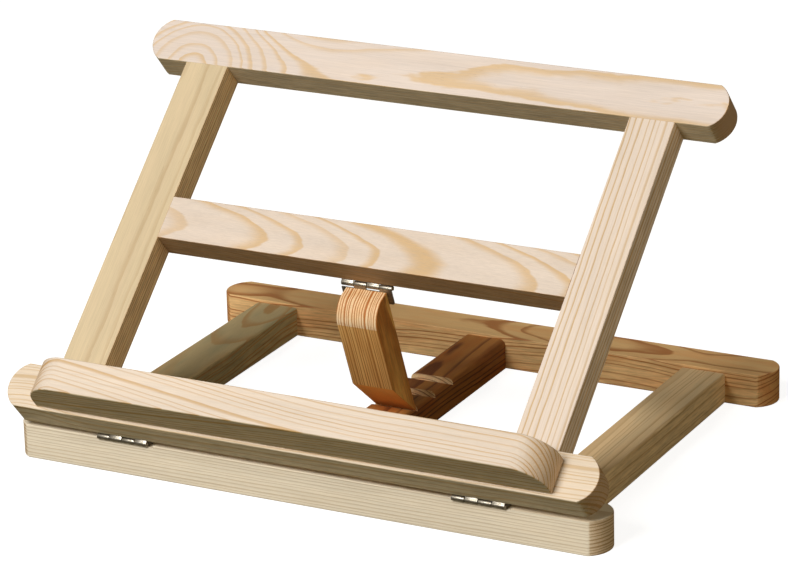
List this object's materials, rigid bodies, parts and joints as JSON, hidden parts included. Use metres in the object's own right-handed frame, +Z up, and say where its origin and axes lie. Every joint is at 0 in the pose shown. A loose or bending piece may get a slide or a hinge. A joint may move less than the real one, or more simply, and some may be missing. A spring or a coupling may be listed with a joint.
{
  "type": "tabletop easel",
  "caption": "Tabletop easel of pine bars: a flat base, a tilting frame with a ledge, and a hinged strut that stands in the notches of the base's centre bar.",
  "frame": {"origin": "middle of the underside of the base", "axes": "+Z up, +Y to the rear, +X to the right along the front bar"},
  "size_m": [0.4, 0.3188, 0.2304],
  "materials": {
    "pine_pale": "planed pine, pale",
    "pine": "planed pine",
    "pine_warm": "planed pine, warm",
    "beech": "turned beech dowel",
    "nickel": "nickel-plated steel, satin",
    "steel": "zinc-plated steel"
  },
  "bodies": {
    "base": {"base_front_bar": "pine_pale", "base_rear_bar": "pine", "base_side_bar_left": "pine", "base_side_bar_right": "pine", "base_notched_bar": "pine_warm", "base_dowels": "beech", "base_leaf_left": "nickel", "base_leaf_right": "nickel", "base_pin_left": "steel", "base_pin_right": "steel", "base_leaf_screws": "steel"},
    "frame": {"frame_bottom_bar": "pine_pale", "frame_top_bar": "pine_pale", "frame_stile_left": "pine", "frame_stile_right": "pine", "frame_middle_rail": "pine_pale", "frame_dowels": "beech", "ledge": "pine_pale", "ledge_screws": "steel", "frame_leaf_left": "nickel", "frame_leaf_right": "nickel", "frame_leaf_screws": "steel", "rail_leaf": "nickel", "strut_pin": "steel", "rail_leaf_screws": "steel"},
    "strut": {"strut": "pine_warm", "strut_leaf": "nickel", "strut_leaf_screws": "steel"}
  },
  "joints": [
    {"name": "frame_lift", "type": "hinge", "parent": "base", "child": "frame", "pos_m": [0, -0.1443, 0.0229], "axis": [1, 0, 0], "range_deg": [0, 70]},
    {"name": "strut_swing", "type": "hinge", "parent": "frame", "child": "strut", "pos_m": [0, -0.04729, 0.10884], "axis": [1, 0, 0], "range_deg": [-70.02, 0]}
  ],
  "couplings": [
    {"joint": "strut_swing", "follows": "frame_lift", "ratio": -1.0002}
  ]
}
